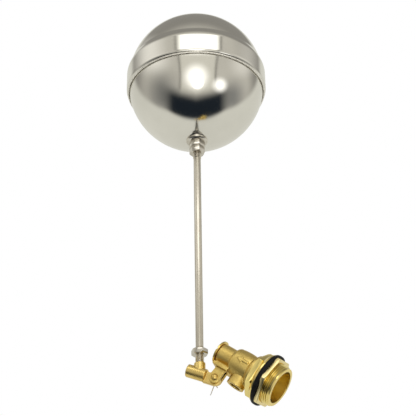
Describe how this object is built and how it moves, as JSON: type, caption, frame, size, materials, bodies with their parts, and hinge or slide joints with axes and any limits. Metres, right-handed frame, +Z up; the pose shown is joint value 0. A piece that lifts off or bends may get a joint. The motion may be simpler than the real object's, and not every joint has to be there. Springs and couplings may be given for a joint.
{
  "type": "float valve",
  "caption": "Brass inlet valve with a threaded spigot and backnut, shut by a piston that a cranked lever moves as a hollow steel ball float rises.",
  "frame": {"origin": "on the axis of the inlet thread, in the face of the collar that the sealing washer seats on", "axes": "+X along the inlet thread out of its mouth, +Z up with the outlet pointing down, +Y across the valve along the lever's pivot pin, towards the split pin"},
  "size_m": [0.4171, 0.1782, 0.4267],
  "materials": {
    "cast_brass": "shot-blasted casting",
    "machined_brass": "turned, bright",
    "forged_brass": "satin forging",
    "pale_brass": "turned, pale",
    "fibre_gasket": "matt",
    "black_rubber": "moulded",
    "drawn_steel": "drawn bar",
    "bright_steel": "turned",
    "polished_steel": "mirror polished",
    "weld_steel": "dressed weld",
    "plated_wire": "bright wire"
  },
  "bodies": {
    "valve": {"valve_body": "cast_brass", "inlet_spigot": "machined_brass", "spigot_gasket": "fibre_gasket", "seat_nozzle": "machined_brass", "end_cap": "machined_brass", "cap_gasket": "fibre_gasket", "pivot_pin": "machined_brass", "split_pin": "plated_wire"},
    "piston": {"piston": "machined_brass", "piston_cap": "machined_brass", "seat_disc": "black_rubber"},
    "float_lever": {"lever": "forged_brass", "float_arm": "drawn_steel", "float_lock_nut": "bright_steel", "float_boss": "bright_steel", "boss_flange": "bright_steel", "float_bush": "bright_steel", "float_lower_shell": "polished_steel", "float_upper_shell": "polished_steel", "float_weld_bead": "weld_steel"},
    "arm_lock_nut": {"arm_lock_nut": "bright_steel"},
    "sealing_washer": {"sealing_washer": "black_rubber"},
    "backnut": {"backnut": "pale_brass"}
  },
  "joints": [
    {"name": "lever_swing", "type": "hinge", "parent": "valve", "child": "float_lever", "pos_m": [-0.04999, 0, -0.0284], "axis": [0, 1, 0], "range_deg": [0, 20]},
    {"name": "piston_slide", "type": "slide", "parent": "valve", "child": "piston", "axis": [1, 0, 0], "range_m": [0, 0.00985]},
    {"name": "lock_nut_travel", "type": "slide", "parent": "float_lever", "child": "arm_lock_nut", "axis": [-0.5948, 0, 0.8039], "range_m": [-0.0055, 0.003]},
    {"name": "washer_travel", "type": "slide", "parent": "valve", "child": "sealing_washer", "axis": [1, 0, 0], "range_m": [0, 0.012]},
    {"name": "backnut_turn", "type": "hinge", "parent": "sealing_washer", "child": "backnut", "pos_m": [0.008, 0, 0], "axis": [1, 0, 0], "range_deg": [0, 1800]}
  ],
  "couplings": [
    {"joint": "piston_slide", "follows": "lever_swing", "m_per_rad": 0.028212},
    {"joint": "washer_travel", "follows": "backnut_turn", "m_per_rad": 0.00036749}
  ]
}
